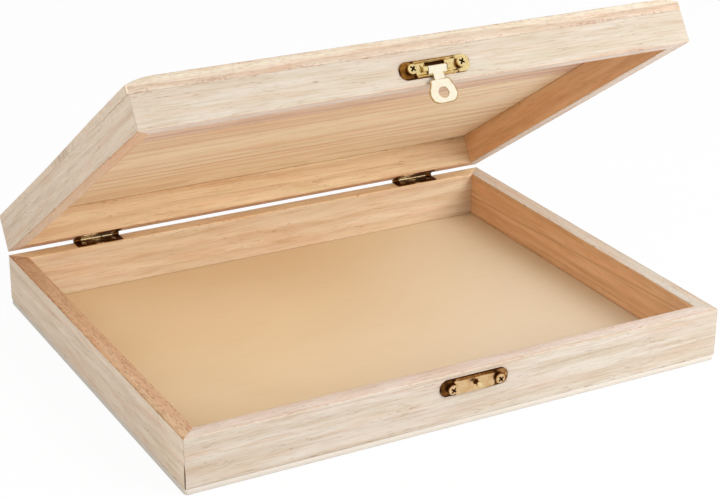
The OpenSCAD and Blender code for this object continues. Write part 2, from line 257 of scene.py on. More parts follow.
def top_strip(node, seed, look, left, right):
    """One strip of the lid's top: a plain board along x, whose ends stand out by left and right. Its
    height shrinks towards each end on an arc that starts level and drops by TOP_END_DROP. At the left
    end the arc drops half as much again towards the back, where the top was sanded lower."""
    low, high = corners(node, True)
    size = high - low
    grid = board(size[0], size[1], size[2], seed, radius=(0.1, 0.4, 0.6, 0.12), mitred=False,
                 gaps=lambda side, height: -(left if side < 0 else right)
                 + 0.08 * np.sin(height * 3.1 + seed))
    arc_r = (TOP_END_RUN ** 2 + TOP_END_DROP ** 2) / (2 * TOP_END_DROP)
    past = np.clip(np.abs(grid[..., 0]) - (size[0] / 2 - TOP_END_RUN), 0, TOP_END_RUN + 1)
    drop = arc_r - np.sqrt(arc_r ** 2 - past ** 2)
    drop *= 1 + 0.5 * smooth(SANDED_FROM, SANDED_TO, low[1] + grid[..., 1]) * (grid[..., 0] < 0)
    grid[..., 2] *= 1 - drop / size[2]
    grid[..., :3] += ((low[0] + high[0]) / 2, low[1], low[2])
    grid = swing(grid, LID_OPEN)
    finish = wood_finish(node, 0, True, size[1], low[2], size[2], seed, strip=True, front=low[1],
                         half=size[0] / 2, **look)
    make(node + ".wood", [grid], finish, "lid", node)


def floor_sheet(node, finish):
    """The floor panel: its profile runs from the middle of the underside round the soft lower arris,
    up the edge and back over the top; at each step the plan outline is a rectangle with arc corners."""
    low, high = corners(node)
    wide, deep, thick = high - low
    plan_r, lower_r, upper_r = 2.2, 1.2, 0.25
    turn = np.linspace(0, QUARTER, 7)
    profile = [(deep / 2, 0), (60, 0), (20, 0), (5, 0)]
    profile += [(lower_r * (1 - math.sin(a)), lower_r * (1 - math.cos(a))) for a in turn]
    profile += [(0, thick / 2)]
    profile += [(upper_r * (1 - math.cos(a)), thick - upper_r * (1 - math.sin(a))) for a in turn]
    profile += [(5, thick), (12, thick), (20, thick), (60, thick), (deep / 2, thick)]
    rings = []
    for inset, height in profile:
        radius = max(plan_r - inset, 0.02)
        half_wide, half_deep = wide / 2 - inset, deep / 2 - inset
        ring = []
        for k, (sx, sy) in enumerate(((1, -1), (1, 1), (-1, 1), (-1, -1))):
            a = QUARTER * (k - 1) + turn
            cx, cy = sx * (half_wide - radius), sy * max(half_deep - radius, 0)
            ring.append(np.stack([cx + radius * np.cos(a), cy + radius * np.sin(a)], -1))
        ring = np.concatenate([*ring, ring[0][:1]])
        rings.append(np.column_stack([ring, np.full(len(ring), height)]))
    grid = with_wear_and_shade(np.stack(rings), 0)
    make(node + ".sheet", [grid], finish, "tray", node)


# ---- fittings: drawn flat in mm, x right, y up the face and z out of it ----

SHEET = 0.7            # thickness of the two plates' sheet
SCREW_GAP = 30.2       # from screw to screw on a plate
HEAD_RISE = 3.6        # height of the domed screw heads


def on_face(points, place, on_lid):
    """Points of a fitting put on the front face at place (x, y of the face, z), swung if on the lid."""
    x, y, z, wear_and_shade = np.moveaxis(points, -1, 0)
    moved = np.stack([place[0] + x, place[1] - z, place[2] + y, wear_and_shade], -1)
    return swing(moved, LID_OPEN) if on_lid else moved


def lathe(profile, wear_and_shade, steps):
    """A profile of (radius, height) points turned about z. It starts and ends on the axis."""
    profile = np.asarray(profile, float)
    angle = np.linspace(0, 2 * math.pi, steps + 1)
    x = profile[:, :1] * np.cos(angle)
    y = profile[:, :1] * np.sin(angle)
    z = np.repeat(profile[:, 1:], steps + 1, 1)
    return with_wear_and_shade(np.stack([x, y, z], -1), np.asarray(wear_and_shade, float)[:, None])


def screw_head(radius, rise, rim, recess, recess_w, recess_depth, turn):
    """A screw head: over a polar grid the height falls off as a flat dome with round shoulders, less a
    cross whose arms get shallower away from the middle; then comes the straight rim."""
    steps = 96
    angle = np.linspace(0, 2 * math.pi, steps + 1)
    r = radius * np.concatenate([np.linspace(0, 0.7, 22), np.linspace(0.72, 1, 12)])[:, None]
    x, y = r * np.cos(angle), r * np.sin(angle)
    z = rim + (rise - rim) * np.sqrt(np.clip(1 - (r / radius) ** 4, 0, 1)) + 0 * angle
    arms = []
    for a in (turn, turn + QUARTER):
        along, across = x * math.cos(a) + y * math.sin(a), y * math.cos(a) - x * math.sin(a)
        inside = 1 - smooth(recess_w * 0.4, recess_w * 0.6, np.abs(across))
        arms.append(inside * (1 - smooth(recess * 0.4, recess * 0.52, np.abs(along))))
    cross = np.maximum(*arms)
    z = z - recess_depth * cross
    # The cross recess and the dome's edge get high values: painted shade.
    wear_and_shade = cross * 1.6 + 0.3 * smooth(radius * 0.9, radius, r)
    top = with_wear_and_shade(np.stack([x, y, z], -1), wear_and_shade)
    # Down the head's straight side the values rise: painted shade on it.
    profile = [(radius, rim), (radius, rim * 0.8), (radius, rim * 0.4), (radius * 0.985, 0),
               (radius * 0.6, -0.1), (0, -0.1)]
    return [top, lathe(profile, [0.5, 0.8, 1, 1.2, 1, 1], steps)]


def two_screws(node, place, on_lid, finish, turns):
    """The two domed screws of a plate, with their crosses turned as they were driven."""
    grids = []
    for hand, turn in zip((-1, 1), turns):
        for grid in screw_head(radius=2.8, rise=HEAD_RISE, rim=HEAD_RISE - 0.9, recess=3.7,
                               recess_w=0.85, recess_depth=1.2, turn=math.radians(turn)):
            grid[..., 0] += hand * SCREW_GAP / 2
            grid[..., 2] += SHEET
            grids.append(on_face(grid, place, on_lid))
    make(node + ".brass", grids, finish, "lid" if on_lid else "tray", node)


def stadium(wide, high, rows, columns):
    """Grid over a plate with round ends: x from end to end, y across, closed round the back."""
    t = np.linspace(-1, 1, rows)
    x = wide / 2 * (1.5 * t - 0.5 * t ** 3)
    over = np.clip(np.abs(x) - (wide - high) / 2, 0, high / 2)
    half = np.sqrt(np.clip((high / 2) ** 2 - over ** 2, 0, None))
    across = np.linspace(-1, 1, columns)
    across = 1.3 * across - 0.3 * across ** 3
    return x[:, None] + 0 * across, half[:, None] * across


def plate(x, y, height, wear_and_shade):
    """A closed plate: the front surface at height, the back flat on the wood, joined at the outline."""
    top = with_wear_and_shade(np.stack([x, y, height], -1), wear_and_shade)
    under = with_wear_and_shade(np.stack([x, y, np.zeros_like(x)], -1), wear_and_shade)
    return np.concatenate([top, under[:, ::-1], top[:, :1]], 1)


def plate_place(node, on_lid):
    """Middle of a plate's back on the front face, its width and its height."""
    low, high = corners(node, on_lid)
    place = ((low[0] + high[0]) / 2, -BOX_DEPTH / 2, (low[2] + high[2]) / 2)
    return place, high[0] - low[0], high[2] - low[2]


def sheet_height(x, y, wide, tall):
    """Height of a flat plate, which falls off smoothly just inside its outline."""
    return SHEET * smooth(0, 0.35, np.minimum(tall / 2 - np.abs(y), wide / 2 - np.abs(x)) + 0.08)


def ridge_height(x, y, half_len, half_high, rise, steep):
    """Height of a pressed ridge: 45 degrees up from its outline to a flat top, its lower side steep."""
    sides = np.minimum(half_high - y, (half_high + y) * steep)
    return np.clip(np.minimum(half_len - np.abs(x), sides), 0, rise)


def plate_wear_and_shade(x, y, wide, half_high, raised_half):
    """Tarnish and painted shade of a plate: dark on its left end and a little on its right, darker
    round its outline, and painted shade at the foot of the raised part.
    """
    rim = smooth(0.7, 0.1, half_high - np.abs(y)) + smooth(0.8, 0.1, wide / 2 - np.abs(x))
    foot = np.exp(-((np.abs(x) - raised_half - 0.5) / 0.9) ** 2)
    left = smooth(-raised_half + 0.5, -raised_half - 1.5, x)
    right = smooth(raised_half, raised_half + 1.5, x)
    return 0.5 * rim + 0.6 * foot + 0.8 * left + 0.3 * right


def ribbon(outer, inner, x0, x1, wear_and_shade_out, wear_and_shade_in):
    """A strip of sheet whose section lies between two curves in the yz plane, from x0 to x1."""
    count = max(2, round(abs(x1 - x0) / 0.6))
    loop = np.concatenate([outer, inner[::-1], outer[:1]])
    wear_and_shade = np.concatenate([np.full(len(outer), wear_and_shade_out), np.full(len(inner), wear_and_shade_in), [wear_and_shade_out]])
    xs = np.linspace(x0, x1, count + 1)
    side = np.stack(np.broadcast_arrays(xs[:, None], loop[:, 0], loop[:, 1]), -1)
    grids = [with_wear_and_shade(side, wear_and_shade)]
    for x in (x0, x1):
        rows = [np.column_stack([np.full(len(c), x), c]) for c in (outer, inner)]
        grids.append(with_wear_and_shade(np.stack(rows), 0.5))
    return grids


def curl(centre_y, centre_z, r_out, r_in, start, sweep, steps=28):
    """Two arcs about a pin, for a rolled knuckle: outer and inner curve in the yz plane."""
    angle = start + np.linspace(0, sweep, steps)
    ring = np.stack([np.cos(angle), np.sin(angle)], -1)
    centre = np.array([centre_y, centre_z])
    return centre + r_out * ring, centre + r_in * ring


def rod(x0, x1, y, z, radius):
    """A pin along x with softly rounded ends."""
    soft = radius * 0.3
    length = x1 - x0
    profile = [(0, 0), (radius - soft, 0), (radius - soft * 0.3, soft * 0.3), (radius, soft),
               (radius, length - soft), (radius - soft * 0.3, length - soft * 0.3),
               (radius - soft, length), (0, length)]
    across, up, along, wear_and_shade = np.moveaxis(lathe(profile, [0.4] * len(profile), 28), -1, 0)
    return np.stack([x0 + along, y + across, z + up, wear_and_shade], -1)


# ---- shader sums ----

class Socket:
    """An output of a node. Its operators add Math nodes to the same tree."""

    def __init__(self, nodes, output):
        self.nodes, self.output = nodes, output

    def math(self, operation, *terms):
        return self.nodes.add("ShaderNodeMath", {"operation": operation}, dict(enumerate(terms)))

    def __add__(self, other):
        return self.math("ADD", self, other)

    def __sub__(self, other):
        return self.math("SUBTRACT", self, other)

    def __rsub__(self, other):
        return self.math("SUBTRACT", other, self)

    def __mul__(self, other):
        return self.math("MULTIPLY", self, other)

    def __truediv__(self, other):
        return self.math("DIVIDE", self, other)

    def __pow__(self, other):
        return self.math("POWER", self, other)

    __radd__, __rmul__ = __add__, __mul__

    def larger(self, other):
        return self.math("MAXIMUM", self, other)

    def size(self):
        return self.math("ABSOLUTE", self)

    def part(self):
        return self.math("FRACT", self)

    def whole(self):
        return self.math("FLOOR", self)

    def rise(self, low, high):
        """0 below low, 1 above high, smooth between; with low above high it falls instead."""
        settings = {"interpolation_type": "SMOOTHSTEP"}
        if low < high:
            return self.nodes.add("ShaderNodeMapRange", settings, {0: self, 1: low, 2: high})
        falling = {0: self, 1: high, 2: low, 3: 1.0, 4: 0.0}
        return self.nodes.add("ShaderNodeMapRange", settings, falling)


class Nodes:
    """The nodes of a world or a material. add() makes each new one."""

    def __init__(self, owner):
        owner.use_nodes = True
        self.tree = owner.node_tree

    def plug(self, target, value):
        if isinstance(value, Socket):
            self.tree.links.new(value.output, target)
        else:
            target.default_value = value

    def add(self, kind, settings=(), inputs=(), output=0):
        """A node of a kind: its settings first, then the values or links of its sockets."""
        node = self.tree.nodes.new(kind)
        for key, value in dict(settings).items():
            setattr(node, key, value)
        for key, value in dict(inputs).items():
            self.plug(node.inputs[key], value)
        return Socket(self, node.outputs[output])

    def seen(self):
        """1 on camera, glossy and transmission rays, and 0 on the rest."""
        rays = ("Is Camera Ray", "Is Glossy Ray", "Is Transmission Ray")
        camera_ray, glossy, transmitted = (self.add("ShaderNodeLightPath", output=ray) for ray in rays)
        return camera_ray.larger(glossy).larger(transmitted)


class Finish(Nodes):
    """A material with one Principled shader."""

    def __init__(self, name, **constants):
        self.material = bpy.data.materials.new(name)
        super().__init__(self.material)
        self.shader = self.tree.nodes["Principled BSDF"]
        for socket, value in constants.items():
            self.shader.inputs[socket.replace("_", " ")].default_value = value

    def set(self, socket, value):
        self.plug(self.shader.inputs[socket], value)

    def mix(self, share, first, second):
        """Colour between first and second."""
        sockets = {0: share, 6: first, 7: second}
        return self.add("ShaderNodeMix", {"data_type": "RGBA"}, sockets, output=2)

    def tint(self, colour, by, share):
        """Colour multiplied by another one, as far as share says."""
        settings = {"data_type": "RGBA", "blend_type": "MULTIPLY"}
        return self.add("ShaderNodeMix", settings, {0: share, 6: colour, 7: by}, output=2)

    def noise(self, vector, lengths, detail, shift):
        """Soft noise whose grains have these lengths in mm; shift moves it to another spot."""
        scale = [1 / length for length in lengths]
        scaled = self.add("ShaderNodeVectorMath", {"operation": "MULTIPLY"}, {0: vector, 1: scale})
        moved = self.add("ShaderNodeVectorMath", {"operation": "ADD"},
                         {0: scaled, 1: (shift, shift * 0.7, shift * 1.3)})
        return self.add("ShaderNodeTexNoise", {"noise_dimensions": "3D"},
                        {"Vector": moved, "Scale": 1.0, "Detail": detail})

    def parts(self, vector):
        """The x, y and z of a vector."""
        first = self.add("ShaderNodeSeparateXYZ", (), {0: vector})
        return [Socket(self, output) for output in first.output.node.outputs]

    def own_mm(self, turn=None, centre=(0, 0, 0)):
        """Object coordinates in mm, turned back by a rotation and centred."""
        here = self.add("ShaderNodeTexCoord", output="Object")
        euler = (turn or Matrix.Identity(3)).to_euler("XYZ")
        return self.add("ShaderNodeMapping", {"vector_type": "TEXTURE"},
                        {"Vector": here, "Location": centre, "Rotation": euler, "Scale": (MM, MM, MM)})

    def bump(self, height, strength, distance):
        self.set("Normal", self.add("ShaderNodeBump", (), {
            "Height": height, "Strength": strength, "Distance": distance * MM}))


def paint(red, green, blue):
    """A colour from its usual 0 to 255 values, as the linear colour that a shader takes."""
    def linear(value):
        value /= 255
        return value / 12.92 if value <= 0.04045 else ((value + 0.055) / 1.055) ** 2.4
    return (linear(red), linear(green), linear(blue), 1.0)


# ---- finishes ----

def board_turn(side, on_lid):
    """Rotation and centre that bring a board's frame to its place: quarter turns, then the swing."""
    turn = Matrix.Rotation(QUARTER * side, 3, "Z")
    if not on_lid:
        return turn, (0, 0, 0)
    tilt = Matrix.Rotation(-LID_OPEN, 3, "X")
    pin = Vector((PIN_X, PIN_Y, PIN_Z)) * MM
    return tilt @ turn, tuple(pin - tilt @ pin)


def wood_finish(name, side, on_lid, deep, foot, tall, seed, outer, inner, rim, pith, spacing, lines,
                strip=False, front=0.0, half=1000.0, bands=(), rim_tint_and_shade=None):
    """Bare straight-grained light wood. Rings are distances from a pith line beside the board, pushed
    about by slow noise; on top lie long fibres, short dashes and blushes of pink and green-grey.
    The outer face, the inner face and the rim each have their own tone. A band (height, width, lean,
    start, stop, strength) is one long line, and the last argument (start, stop, colour) tints a stretch
    of a rim darker: painted shade from the lid on the tray's back and left rims."""
    f = Finish("wood_" + name, Roughness=0.72, IOR=1.4)
    turn, centre = board_turn(side, on_lid)
    here = f.own_mm(turn, centre)
    along, out, up = f.parts(here)
    # depth is from the outer face and height from the foot; inside, edge and end say where a point is
    if strip:
        depth, height = up - foot, out - front
        inside, edge = depth.rise(0.9, 0.3), height.rise(0.5, 0.2)
    else:
        depth, height = out + (BOX_DEPTH if side % 2 == 0 else BOX_WIDTH) / 2, up - foot
        inside = depth.rise(deep - 0.9, deep - 0.3)
        edge = height.rise(0.5, 0.2) if on_lid else height.rise(tall - 0.5, tall - 0.2)
    end = along.size().rise(half - 0.5, half - 0.1)
    # growth rings, with late wood at the end of each, and the noises of the surface
    wander = f.noise(here, (150, 22, 22), 2, seed)
    swell = f.noise(here, (60, 9, 9), 1, seed + 5)
    from_pith = ((depth - pith[0]) ** 2 + (height - pith[1]) ** 2) ** 0.5
    ring = (from_pith + wander * 9 + swell * 2.2) / spacing
    phase = ring.part()
    chance = f.add("ShaderNodeTexWhiteNoise", {"noise_dimensions": "1D"}, {"W": ring.whole() + seed})
    late = phase.rise(0.35, 0.85) * phase.rise(1.0, 0.92) * (chance * 0.75 + 0.25)
    fibre = f.noise(here, (24, 0.7, 0.7), 2, seed + 1)
    mottle = f.noise(here, (24, 2.4, 2.4), 2, seed + 7)
    dashes = f.noise(here, (5.5, 0.42, 0.42), 1, seed + 2).rise(0.62, 0.74)
    patch = f.noise(here, (30, 6, 6), 1, seed + 8).rise(0.46, 0.72)
    cloud = f.noise(here, (95, 8, 8), 2, seed + 3).rise(0.25, 0.75)
    blush = f.noise(here, (60, 6, 6), 1, seed + 4)
    fuzz = f.noise(here, (3.4, 0.9, 0.9), 2, seed + 6).rise(0.48, 0.68)
    # the tone of each face, the grain over it, then what is on the rim, the arrises and the ends
    tone = f.mix(inside, f.mix(cloud, outer[0], outer[1]), f.mix(cloud, inner[0], inner[1]))
    dark = f.mix(inside, outer[2], inner[2])
    layer = depth.rise(tall * 0.66, tall * 0.52) * 0.8 + cloud * 0.2 if strip else cloud
    tone = f.mix(edge, tone, f.mix(layer, rim[0], rim[1]))
    tone = f.mix(end, tone, LEFT_SIDE[0])
    # A stretch of a rim tinted darker: on the tray's back and left rims it is painted shade from the
    # lid.
    if rim_tint_and_shade:
        start, stop, brown = rim_tint_and_shade
        tone = f.tint(tone, brown, edge * along.rise(start, stop))
    colour = f.tint(tone, paint(254, 245, 240), blush.rise(0.5, 0.76))
    colour = f.tint(colour, paint(249, 251, 245), blush.rise(0.46, 0.22))
    colour = f.tint(colour, paint(241, 230, 219), mottle.rise(0.42, 0.78) * 0.55)
    colour = f.mix(late * lines * (1 - end * 0.8), colour, dark)
    colour = f.tint(colour, paint(234, 218, 202), fibre.rise(0.44, 0.74) * 0.6)
    colour = f.tint(colour, paint(206, 188, 172), dashes * (patch * 0.75 + 0.25))
    for at, width, lean, start, stop, strength in bands:
        line = (height - at - along * lean - (wander - 0.5) * 5).size()
        reach = along.rise(start, start + 30) * along.rise(stop, stop - 30)
        colour = f.mix(line.rise(width, width * 0.1) * reach * strength, colour, dark)
    colour = f.mix(edge * fuzz * rim[3], colour, rim[2])
    if strip:
        ticks = f.noise(here, (1.6, 3.0, 1.2), 1, seed + 12).rise(0.46, 0.6)
        broken = f.noise(here, (26, 9, 9), 1, seed + 13).rise(0.36, 0.56)
        colour = f.mix(edge * ticks * broken * depth.rise(2.0, 0.9) * 0.5, colour, rim[2])
    else:
        # The outer arris is darkened a little: painted shade that dims its highlight.
        arris = edge * depth.rise(1.6, 0.4)
        colour = f.tint(colour, SHADE_TINT, arris)
        chips = f.noise(here, (4.5, 1.5, 1.5), 1, seed + 14).rise(0.56, 0.66)
        colour = f.mix(arris * chips * (patch * 0.6 + 0.3), colour, rim[2])
        # A dark line along the foot of the inner face, where it meets the floor or the top: painted
        # shade in the inner corner.
        inner_corner_shade = height.rise(tall - 0.9, tall - 0.2) if on_lid else height.rise(0.9, 0.2)
        colour = f.mix(inside * inner_corner_shade * 0.6, colour, dark)
    saw = f.noise(here, (900, 0.5, 9), 1, seed + 9).rise(0.45, 0.75)
    colour = f.tint(colour, paint(226, 212, 198), saw * end * 0.6)
    worn = f.add("ShaderNodeAttribute", {"attribute_name": "wear_and_shade"}, output="Fac")
    crumbs = f.noise(here, (4.5, 1.2, 1.2), 1, seed + 11).rise(0.6, 0.7)
    colour = f.tint(colour, paint(190, 158, 134), worn * crumbs * (patch * 0.6 + 0.3))
    f.set("Base Color", colour)
    f.set("Roughness", 0.66 + fibre * 0.16)
    relief = fibre * 0.5 - dashes * 0.6 - late * 0.25 + mottle * 0.2 - edge * fuzz * rim[3] * 0.6
    f.bump(relief, 0.6, 0.2)
    return f.material


def floor_finish():
    """Smooth sheet: even tan, paler to the right, with broad soft clouds and a very fine tooth; its
    cut edge is pale, and darker towards its foot where it meets the ground: painted shade."""
    f = Finish("smooth_floor_sheet", Roughness=0.6, IOR=1.4)
    here = f.own_mm()
    x, y, z = f.parts(here)
    broad = f.noise(here, (120, 70, 70), 2, 3.0).rise(0.3, 0.7)
    fine = f.noise(here, (3.0, 1.2, 1.2), 3, 8.0)
    fibres = f.noise(here, (28, 1.6, 1.6), 2, 5.0).rise(0.45, 0.8)
    face = f.mix(broad, paint(224, 203, 168), paint(220, 197, 160))
    face = f.mix((x - y * 0.6).rise(-60, 110) * 0.9, face, paint(227, 212, 186))
    face = f.tint(face, paint(236, 218, 198), fibres * 0.12)
    rim = (x.size() - (BOX_WIDTH / 2 - 0.9)).larger(y.size() - (BOX_DEPTH / 2 - 0.9)).rise(0, 0.5)
    layers = z.rise(0.9, 1.4) * z.rise(2.3, 1.8)
    edge = f.mix(layers * 0.4, paint(207, 199, 188), paint(190, 177, 160))
    # The edge darkens towards its foot, where it meets the ground: painted shade.
    edge = f.mix(z.rise(0.9, 0.2), edge, paint(166, 157, 146))
    f.set("Base Color", f.mix(rim, face, edge))
    f.set("Roughness", 0.56 + fine * 0.14)
    f.bump(fine * 0.6 + fibres * 0.2, 0.35, 0.05)
    return f.material


# The darkest colour of the brass: tarnish, and painted shade where the pieces set their numbers high.
TARNISH_AND_SHADE = paint(68, 37, 14)


def brass_finish(name, clean, warm, honey, rough, grime_and_shade):
    """Stamped brass: polished with soft clouds of warmer metal. The number on each point turns it honey
    brown and then dark: tarnish where hands and rags never reach, and painted shade and painted dark
    reflection where the pieces set it high; below zero it stays clean, a painted highlight."""
    f = Finish(name, Metallic=1.0)
    here = f.own_mm()
    blotch = f.noise(here, (2.4, 2.4, 2.4), 3, 1.0)
    drawn = f.noise(here, (4.5, 0.5, 0.5), 2, 4.0)
    wear_and_shade = f.add("ShaderNodeAttribute", {"attribute_name": "wear_and_shade"}, output="Fac")
    dirt_and_shade = wear_and_shade + (blotch - 0.5) * 0.8 + grime_and_shade
    metal = f.mix(blotch.rise(0.35, 0.8) * 0.7, clean, warm)
    metal = f.mix(dirt_and_shade.rise(0.2, 0.65), metal, honey)
    f.set("Base Color", f.mix(dirt_and_shade.rise(0.55, 1.05), metal, TARNISH_AND_SHADE))
    f.set("Roughness", dirt_and_shade.rise(0.2, 1.0) * 0.3 + drawn * 0.12 + rough)
    f.bump(blotch * 0.6 + drawn * 0.4, 0.25, 0.06)
    return f.material


# ---- the box ----

# A face has a light tone, a deeper tone and its late wood; a rim has its fuzz's strength as well.
OUTSIDE = (paint(203, 194, 183), paint(196, 185, 169), paint(170, 143, 120))
LID_FRONT = (paint(200, 190, 177), paint(193, 181, 163), paint(168, 143, 116))
LEFT_SIDE = (paint(230, 214, 194), paint(220, 202, 181), paint(190, 160, 137))
INNER_BACK = (paint(230, 212, 186), paint(224, 201, 170), paint(199, 159, 121))
# The inner face of the lid's back board is made paler against the shade under the lid: painted light.
LIGHTENED_LID_BACK = (paint(239, 217, 183), paint(232, 205, 168), paint(202, 157, 115))
# The inner right faces are given a deeper, more orange tone: painted shade.
SHADED_INNER_RIGHT = (paint(238, 198, 155), paint(229, 184, 140), paint(183, 125, 83))
INNER_LEFT = (paint(226, 202, 166), paint(220, 190, 150), paint(184, 134, 94))
RIM = (paint(231, 220, 211), paint(227, 212, 200), paint(198, 166, 141), 0.3)
RIGHT_RIM = (paint(214, 209, 198), paint(218, 200, 180), paint(188, 157, 131), 0.3)
# The tray's back rim is made very pale against the lid's shade over it: painted light.
LIGHTENED_BACK_RIM = (paint(252, 232, 196), paint(247, 222, 180), paint(206, 162, 122), 0.3)
WARM_RIM = (paint(228, 193, 162), paint(220, 180, 147), paint(182, 130, 96), 0.4)
ROUGH_RIM = (paint(220, 189, 155), paint(210, 172, 135), paint(162, 112, 80), 0.55)
PALE_RIM = (paint(246, 229, 213), paint(242, 222, 202), paint(196, 160, 132), 0.35)
TOP_EDGE = (paint(208, 197, 178), paint(204, 187, 169), paint(162, 128, 108), 0.25)
# A slight darkening: painted shade, on the outer arrises to dim their highlight and on the tray's rims
# under the lid.
SHADE_TINT = paint(244, 236, 226)


def tray_boards():
    """The four boards and the floor sheet; the mitre at the front left has opened a little."""
    side_board("tray_front_board", 0, False, 1.0, dict(
        outer=OUTSIDE, inner=INNER_LEFT, rim=RIM, pith=(-40, -60), spacing=11, lines=0.3,
        bands=((18.8, 1.3, 0.02, 20, 115, 0.4), (14.6, 1.4, 0.0, 95, 260, 0.4),
               (17.2, 0.7, 0.01, -20, 260, 0.2), (1.0, 1.8, 0.0, -250, 0, 0.35),
               (27.4, 0.5, 0.0, -145, 0, 0.5), (25.6, 0.4, 0.01, -60, 60, 0.3))),
        gaps=mitre_gap(-1, 0.5))
    side_board("tray_right_board", 1, False, 2.0, dict(
        outer=OUTSIDE, inner=SHADED_INNER_RIGHT, rim=RIGHT_RIM, pith=(30, -35), spacing=8, lines=0.3,
        bands=((17.2, 1.1, -0.038, -150, 150, 0.45), (5.0, 0.9, 0.0, -120, 60, 0.3))))
    side_board("tray_back_board", 2, False, 3.0, dict(
        outer=OUTSIDE, inner=INNER_BACK, rim=LIGHTENED_BACK_RIM, pith=(34, -44), spacing=9, lines=0.4,
        rim_tint_and_shade=(60, 150, SHADE_TINT)))
    side_board("tray_left_board", 3, False, 4.0, dict(
        outer=LEFT_SIDE, inner=INNER_LEFT, rim=ROUGH_RIM, pith=(-18, -30), spacing=9, lines=0.28,
        rim_tint_and_shade=(40, -60, SHADE_TINT)), gaps=mitre_gap(1, 0.3))
    floor_sheet("tray_floor_panel", floor_finish())


def lid_boards():
    """The four boards and the four strips of the top, whose ends stand out a little unevenly."""
    side_board("lid_front_board", 0, True, 5.0, dict(
        outer=LID_FRONT, inner=INNER_LEFT, rim=RIM, pith=(-60, -12), spacing=6, lines=0.25),
        radius=(0.45, 0.2, 0.2, 0.45))
    side_board("lid_right_board", 1, True, 6.0, dict(
        outer=OUTSIDE, inner=SHADED_INNER_RIGHT, rim=RIM, pith=(26, -30), spacing=8, lines=0.4))
    side_board("lid_back_board", 2, True, 7.0, dict(
        outer=OUTSIDE, inner=LIGHTENED_LID_BACK, rim=WARM_RIM, pith=(40, -40), spacing=8, lines=0.4))
    side_board("lid_left_board", 3, True, 8.0, dict(
        outer=LEFT_SIDE, inner=INNER_LEFT, rim=PALE_RIM, pith=(-22, -30), spacing=9, lines=0.28,
        rim_tint_and_shade=(-110, 110, paint(235, 212, 191))), radius=(0.45, 0.12, 0.12, 0.45))
    pink = (paint(236, 214, 199), paint(232, 207, 189), paint(192, 142, 118))
    # The undersides of the third and fourth strips are made very pale against the shade under the lid:
    # painted light.
    tan = (paint(254, 242, 221), paint(252, 237, 212), paint(218, 176, 138))
    streaks = ((12, 26, 0.0, -240, 90, 0.34), (5, 1.5, 0.01, -240, 60, 0.35),
               (11, 1.2, 0.012, -240, 130, 0.4), (17, 1.6, 0.0, -240, 20, 0.35),
               (24, 1.3, -0.01, -240, 80, 0.35), (30, 1.0, 0.0, -240, 0, 0.3))
    for k, under in enumerate((pink, pink, tan, tan)):
        top_strip(f"lid_top_strip_{k + 1}", 9.0 + k, dict(
            outer=OUTSIDE, inner=under, rim=TOP_EDGE, pith=(-55, 30 + 8 * k), spacing=5.5, lines=0.75,
            bands=streaks if k == 2 else ()),
            left=(0.5, -0.05, 0.0, -0.1)[k], right=(-0.1, 0.0, -0.05, 0.05)[k])


BRASS = brass_finish("bright_brass", paint(234, 213, 157), paint(218, 179, 108), paint(168, 114, 48),
                     rough=0.2, grime_and_shade=-0.1)
# A tan, darker copy of the brass for the catch, a painted dull reflection, and a paler one for the
# hasp, a painted bright reflection.
SHADED_BRASS = brass_finish("shaded_brass", paint(224, 190, 144), paint(200, 156, 102), paint(142, 92, 42),
                         rough=0.24, grime_and_shade=0.0)
LIT_BRASS = brass_finish("lit_brass", paint(254, 246, 224), paint(248, 232, 196), paint(196, 156, 92),
                          rough=0.3, grime_and_shade=-0.03)
AGED_BRASS = brass_finish("aged_brass", paint(255, 240, 200), paint(232, 184, 104), paint(140, 88, 36),
                          rough=0.2, grime_and_shade=0.0)


def hull_radius(discs, angle):
    """Distance from the origin to the outline of a hull of discs (x, y, r), in each direction.
    Each tangent line with normal n lies at h(n) = max(c.n + r); along a ray the nearest one counts."""
    normal = np.linspace(0, 2 * math.pi, 721)
    unit = np.stack([np.cos(normal), np.sin(normal)], -1)
    discs = np.asarray(discs, float)
    support = (unit @ discs[:, :2].T + discs[:, 2]).max(1)
    facing = np.cos(np.asarray(angle)[..., None] - normal)
    reach = np.where(facing > 0.02, support / np.maximum(facing, 0.02), np.inf)
    return reach.min(-1)


